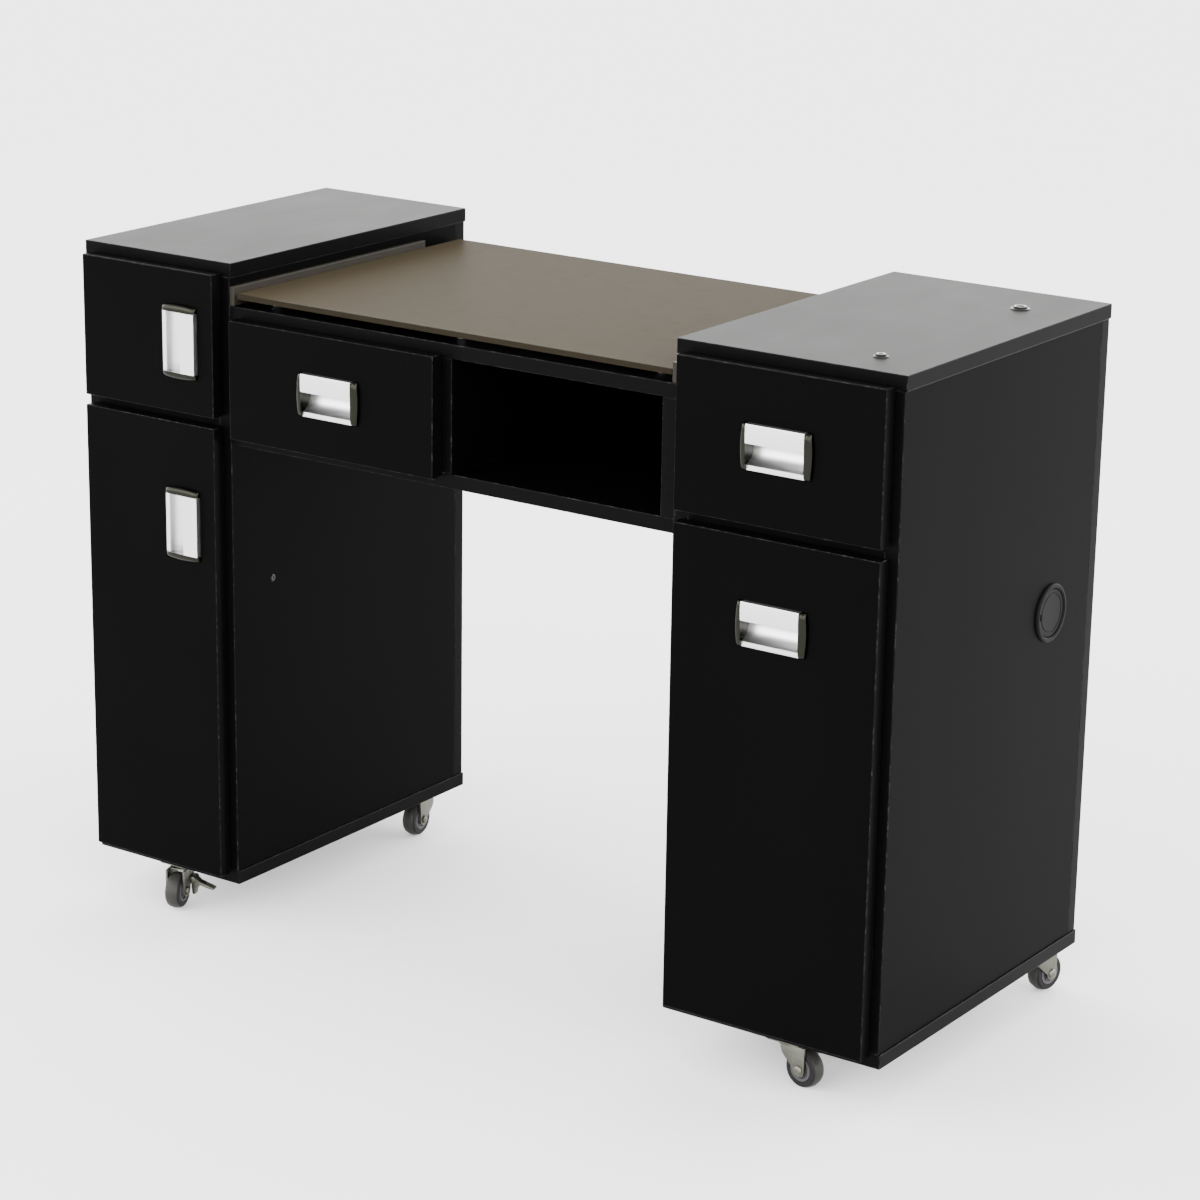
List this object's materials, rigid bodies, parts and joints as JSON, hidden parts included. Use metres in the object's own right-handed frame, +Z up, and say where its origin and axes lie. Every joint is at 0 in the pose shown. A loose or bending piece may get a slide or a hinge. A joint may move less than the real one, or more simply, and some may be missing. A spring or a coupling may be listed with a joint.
{
  "type": "manicure table",
  "caption": "Black laminate manicure table: two pedestals with doors and drawers, a tinted glass worktop over a drawer and open cubby, and swivel casters.",
  "frame": {"origin": "on the floor, under the middle of the overall box", "axes": "+X to the right seen by the user, -Y towards the user, +Z up"},
  "size_m": [1.0016, 0.423, 0.733],
  "materials": {
    "black_laminate": "black melamine laminate, fine satin grain",
    "bronze_glass": "taupe tinted float glass, polished edges",
    "clear_rubber": "translucent bumper pads",
    "taupe_strip": "grey-brown plastic strip",
    "satin_aluminium": "satin anodised",
    "dark_chrome": "smoked chrome",
    "zinc_plate": "zinc plated pressed steel",
    "nickel_steel": "nickel plated steel",
    "bush_metal": "black nickel plated sleeve",
    "tyre_grey": "smoke grey tyre on a black hub",
    "black_plastic": "moulded black plastic",
    "pale_plastic": "light cover cap"
  },
  "bodies": {
    "carcass": {"caster_plates": "zinc_plate", "centre_back_panel": "black_laminate", "centre_bottom_board": "black_laminate", "centre_uprights": "black_laminate", "desk_board": "black_laminate", "fixed_runners": "nickel_steel", "glass_pads": "clear_rubber", "glass_stop_strips": "taupe_strip", "glass_top": "bronze_glass", "grommet_cap": "black_plastic", "hinge_arms": "nickel_steel", "left_back_panel": "black_laminate", "left_bottom_board": "black_laminate", "left_side_panels": "black_laminate", "left_top_board": "black_laminate", "pedestal_shelves": "black_laminate", "right_back_panel": "black_laminate", "right_bottom_board": "black_laminate", "right_side_panels": "black_laminate", "right_top_board": "black_laminate", "screw_caps": "pale_plastic", "side_grommet": "black_plastic", "top_bushes": "bush_metal"},
    "upper_door": {"upper_door_handle_caps": "dark_chrome", "upper_door_handle_grip": "satin_aluminium", "upper_door_hinge_cups": "nickel_steel", "upper_door_panel": "black_laminate"},
    "lower_door": {"lower_door_handle_caps": "dark_chrome", "lower_door_handle_grip": "satin_aluminium", "lower_door_hinge_cups": "nickel_steel", "lower_door_panel": "black_laminate"},
    "upper_drawer": {"upper_drawer_box": "black_laminate", "upper_drawer_front": "black_laminate", "upper_drawer_handle_caps": "dark_chrome", "upper_drawer_handle_grip": "satin_aluminium", "upper_drawer_rails": "nickel_steel"},
    "lower_drawer": {"lower_drawer_box": "black_laminate", "lower_drawer_front": "black_laminate", "lower_drawer_handle_caps": "dark_chrome", "lower_drawer_handle_grip": "satin_aluminium", "lower_drawer_rails": "nickel_steel"},
    "centre_drawer": {"centre_drawer_box": "black_laminate", "centre_drawer_front": "black_laminate", "centre_drawer_handle_caps": "dark_chrome", "centre_drawer_handle_grip": "satin_aluminium", "centre_drawer_rails": "nickel_steel"},
    "front_left_swivel": {"front_left_caster_fork": "zinc_plate"},
    "front_left_wheel": {"front_left_caster_wheel": "tyre_grey"},
    "front_left_brake": {"front_left_brake_lever": "zinc_plate"},
    "front_right_swivel": {"front_right_caster_fork": "zinc_plate"},
    "front_right_wheel": {"front_right_caster_wheel": "tyre_grey"},
    "front_right_brake": {"front_right_brake_lever": "zinc_plate"},
    "rear_left_outer_swivel": {"rear_left_outer_caster_fork": "zinc_plate"},
    "rear_left_outer_wheel": {"rear_left_outer_caster_wheel": "tyre_grey"},
    "rear_left_inner_swivel": {"rear_left_inner_caster_fork": "zinc_plate"},
    "rear_left_inner_wheel": {"rear_left_inner_caster_wheel": "tyre_grey"},
    "rear_right_inner_swivel": {"rear_right_inner_caster_fork": "zinc_plate"},
    "rear_right_inner_wheel": {"rear_right_inner_caster_wheel": "tyre_grey"},
    "rear_right_outer_swivel": {"rear_right_outer_caster_fork": "zinc_plate"},
    "rear_right_outer_wheel": {"rear_right_outer_caster_wheel": "tyre_grey"}
  },
  "joints": [
    {"name": "upper_door_hinge", "type": "hinge", "parent": "carcass", "child": "upper_door", "pos_m": [-0.48975, -0.1905, 0.6435], "axis": [0, 0, -1], "range_deg": [0, 95]},
    {"name": "lower_door_hinge", "type": "hinge", "parent": "carcass", "child": "lower_door", "pos_m": [-0.48975, -0.1905, 0.309], "axis": [0, 0, -1], "range_deg": [0, 95]},
    {"name": "upper_drawer_slide", "type": "slide", "parent": "carcass", "child": "upper_drawer", "axis": [0, -1, 0], "range_m": [0, 0.25]},
    {"name": "lower_drawer_slide", "type": "slide", "parent": "carcass", "child": "lower_drawer", "axis": [0, -1, 0], "range_m": [0, 0.25]},
    {"name": "centre_drawer_slide", "type": "slide", "parent": "carcass", "child": "centre_drawer", "axis": [0, -1, 0], "range_m": [0, 0.25]},
    {"name": "front_left_caster_swivel", "type": "hinge", "parent": "carcass", "child": "front_left_swivel", "pos_m": [-0.40075, -0.165, 0.0442], "axis": [0, 0, 1], "continuous": true},
    {"name": "front_left_wheel_spin", "type": "hinge", "parent": "front_left_swivel", "child": "front_left_wheel", "pos_m": [-0.39519, -0.18212, 0.02], "axis": [0.9511, 0.309, 0], "continuous": true},
    {"name": "front_left_brake_press", "type": "hinge", "parent": "front_left_swivel", "child": "front_left_brake", "pos_m": [-0.38605, -0.16495, 0.031], "axis": [-0.309, 0.9511, 0], "range_deg": [0, 6]},
    {"name": "front_right_caster_swivel", "type": "hinge", "parent": "carcass", "child": "front_right_swivel", "pos_m": [0.38625, -0.165, 0.0442], "axis": [0, 0, 1], "continuous": true},
    {"name": "front_right_wheel_spin", "type": "hinge", "parent": "front_right_swivel", "child": "front_right_wheel", "pos_m": [0.40408, -0.1675, 0.02], "axis": [0.1392, 0.9903, 0], "continuous": true},
    {"name": "front_right_brake_press", "type": "hinge", "parent": "front_right_swivel", "child": "front_right_brake", "pos_m": [0.39265, -0.15176, 0.031], "axis": [-0.9903, 0.1392, 0], "range_deg": [0, 6]},
    {"name": "rear_left_outer_caster_swivel", "type": "hinge", "parent": "carcass", "child": "rear_left_outer_swivel", "pos_m": [-0.47325, 0.1725, 0.0442], "axis": [0, 0, 1], "continuous": true},
    {"name": "rear_left_outer_wheel_spin", "type": "hinge", "parent": "rear_left_outer_swivel", "child": "rear_left_outer_wheel", "pos_m": [-0.47941, 0.15559, 0.02], "axis": [0.9397, -0.342, 0], "continuous": true},
    {"name": "rear_left_inner_caster_swivel", "type": "hinge", "parent": "carcass", "child": "rear_left_inner_swivel", "pos_m": [-0.32825, 0.1725, 0.0442], "axis": [0, 0, 1], "continuous": true},
    {"name": "rear_left_inner_wheel_spin", "type": "hinge", "parent": "rear_left_inner_swivel", "child": "rear_left_inner_wheel", "pos_m": [-0.32637, 0.1546, 0.02], "axis": [0.9945, 0.1045, 0], "continuous": true},
    {"name": "rear_right_inner_caster_swivel", "type": "hinge", "parent": "carcass", "child": "rear_right_inner_swivel", "pos_m": [0.27675, 0.1725, 0.0442], "axis": [0, 0, 1], "continuous": true},
    {"name": "rear_right_inner_wheel_spin", "type": "hinge", "parent": "rear_right_inner_swivel", "child": "rear_right_inner_wheel", "pos_m": [0.26914, 0.18881, 0.02], "axis": [-0.9063, -0.4226, 0], "continuous": true},
    {"name": "rear_right_outer_caster_swivel", "type": "hinge", "parent": "carcass", "child": "rear_right_outer_swivel", "pos_m": [0.47175, 0.1725, 0.0442], "axis": [0, 0, 1], "continuous": true},
    {"name": "rear_right_outer_wheel_spin", "type": "hinge", "parent": "rear_right_outer_swivel", "child": "rear_right_outer_wheel", "pos_m": [0.4758, 0.19004, 0.02], "axis": [-0.9744, 0.225, 0], "continuous": true}
  ]
}
